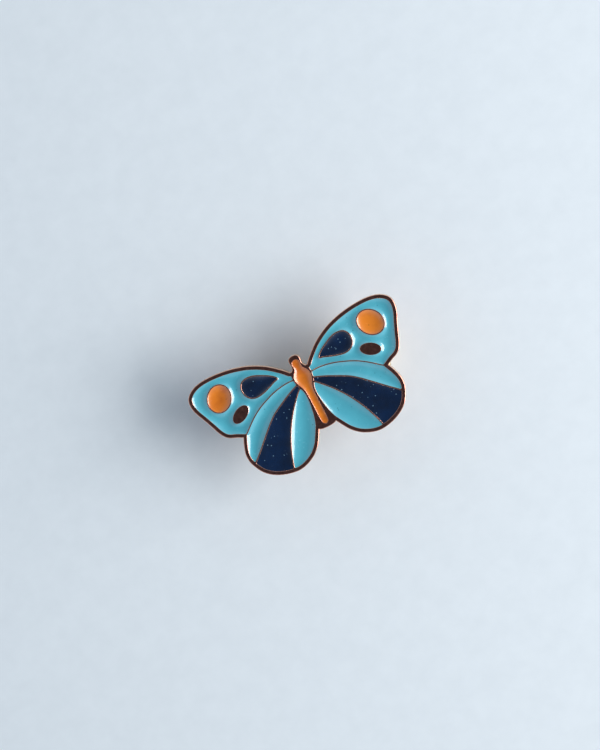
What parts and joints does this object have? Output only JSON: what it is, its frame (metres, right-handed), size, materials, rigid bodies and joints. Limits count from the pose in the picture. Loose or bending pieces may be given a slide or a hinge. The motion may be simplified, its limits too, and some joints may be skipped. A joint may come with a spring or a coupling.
{
  "type": "lapel pin",
  "caption": "Butterfly-shaped metal lapel pin with recessed enamel fields, posts on its back and a squeeze-release clutch on each post.",
  "frame": {"origin": "on the back face of the plate, on the butterfly's line of symmetry at the thorax", "axes": "+X across the wings to the wearer's side at the right of the face, +Y to the head, +Z out of the enamelled face"},
  "size_m": [0.0318, 0.0172, 0.0101],
  "materials": {
    "plate_metal": "polished copper plating",
    "turquoise_enamel": "glossy soft enamel",
    "navy_enamel": "glossy soft enamel",
    "orange_enamel": "glossy soft enamel",
    "solder": "satin solder",
    "clutch_metal": "bright brass plating",
    "spring_wire": "bright spring wire"
  },
  "bodies": {
    "pin": {"base_plate": "plate_metal", "enamel_fore_left": "turquoise_enamel", "enamel_outer_left": "turquoise_enamel", "enamel_inner_left": "turquoise_enamel", "enamel_wedge_left": "navy_enamel", "enamel_drop_left": "navy_enamel", "enamel_spot_left": "orange_enamel", "enamel_fore_right": "turquoise_enamel", "enamel_outer_right": "turquoise_enamel", "enamel_inner_right": "turquoise_enamel", "enamel_wedge_right": "navy_enamel", "enamel_drop_right": "navy_enamel", "enamel_spot_right": "orange_enamel", "enamel_body": "orange_enamel", "post_left": "plate_metal", "solder_left": "solder", "post_right": "plate_metal", "solder_right": "solder"},
    "clutch_left": {"clutch_disc_left": "clutch_metal", "clutch_cap_left": "clutch_metal", "clutch_spring_left": "spring_wire"},
    "upper_wing_left": {"upper_wing_left": "clutch_metal"},
    "lower_wing_left": {"lower_wing_left": "clutch_metal"},
    "clutch_right": {"clutch_disc_right": "clutch_metal", "clutch_cap_right": "clutch_metal", "clutch_spring_right": "spring_wire"},
    "upper_wing_right": {"upper_wing_right": "clutch_metal"},
    "lower_wing_right": {"lower_wing_right": "clutch_metal"}
  },
  "joints": [
    {"name": "clutch_slide_left", "type": "slide", "parent": "pin", "child": "clutch_left", "axis": [0, 0, -1], "range_m": [0, 0.012]},
    {"name": "wing_squeeze_left", "type": "slide", "parent": "clutch_left", "child": "upper_wing_left", "axis": [-1, 0, 0], "range_m": [0, 0.0006], "stiffness_N_per_m": 40, "springref_m": -0.0004},
    {"name": "lower_squeeze_left", "type": "slide", "parent": "clutch_left", "child": "lower_wing_left", "axis": [1, 0, 0], "range_m": [0, 0.0006], "stiffness_N_per_m": 40, "springref_m": -0.0004},
    {"name": "clutch_slide_right", "type": "slide", "parent": "pin", "child": "clutch_right", "axis": [0, 0, -1], "range_m": [0, 0.012]},
    {"name": "wing_squeeze_right", "type": "slide", "parent": "clutch_right", "child": "upper_wing_right", "axis": [-1, 0, 0], "range_m": [0, 0.0006], "stiffness_N_per_m": 40, "springref_m": -0.0004},
    {"name": "lower_squeeze_right", "type": "slide", "parent": "clutch_right", "child": "lower_wing_right", "axis": [1, 0, 0], "range_m": [0, 0.0006], "stiffness_N_per_m": 40, "springref_m": -0.0004}
  ],
  "couplings": [
    {"joint": "lower_squeeze_left", "follows": "wing_squeeze_left", "ratio": 1},
    {"joint": "lower_squeeze_right", "follows": "wing_squeeze_right", "ratio": 1}
  ]
}
